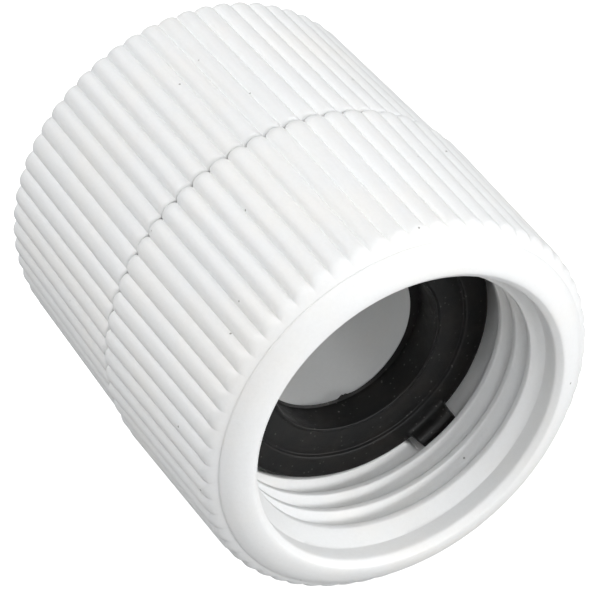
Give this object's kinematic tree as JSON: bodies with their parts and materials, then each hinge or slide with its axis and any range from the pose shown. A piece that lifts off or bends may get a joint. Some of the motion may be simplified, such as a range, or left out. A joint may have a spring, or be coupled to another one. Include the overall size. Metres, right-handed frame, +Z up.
{
  "type": "compression fitting",
  "caption": "Short ribbed plastic coupling: a hose-thread swivel nut with a black sealing washer on one end and a hand-tightened compression nut for plain pipe on the other.",
  "frame": {"origin": "centre of the bounding box, on the fitting's axis halfway between the rim of the hose mouth and the end face of the compression nut", "axes": "+Y along the axis from the hose mouth towards the pipe socket, +Z up with the fitting lying on its side, +X to the right when looking along +Y into the mouth"},
  "size_m": [0.035, 0.0374, 0.035],
  "materials": {
    "white_plastic": "moulded satin white, slightly cool",
    "core_plastic": "smooth moulded white",
    "black_rubber": "matt moulded black rubber",
    "acetal": "smooth natural white"
  },
  "bodies": {
    "fitting": {"fitting_body": "core_plastic", "tailpiece": "core_plastic", "pipe_seal": "black_rubber"},
    "hose_end": {"swivel_nut": "white_plastic", "hose_washer": "black_rubber"},
    "clamp_set": {"thrust_ring": "acetal", "grip_ring": "acetal"},
    "pipe_end": {"compression_nut": "white_plastic"}
  },
  "joints": [
    {"name": "hose_swivel", "type": "hinge", "parent": "fitting", "child": "hose_end", "pos_m": [0, 0, 0], "axis": [0, 1, 0], "continuous": true},
    {"name": "clamp_travel", "type": "slide", "parent": "fitting", "child": "clamp_set", "axis": [0, 1, 0], "range_m": [0, 0.0063]},
    {"name": "nut_turn", "type": "hinge", "parent": "clamp_set", "child": "pipe_end", "pos_m": [0, 0, 0], "axis": [0, 1, 0], "range_deg": [0, 900]}
  ],
  "couplings": [
    {"joint": "clamp_travel", "follows": "nut_turn", "m_per_rad": 0.00039789}
  ]
}
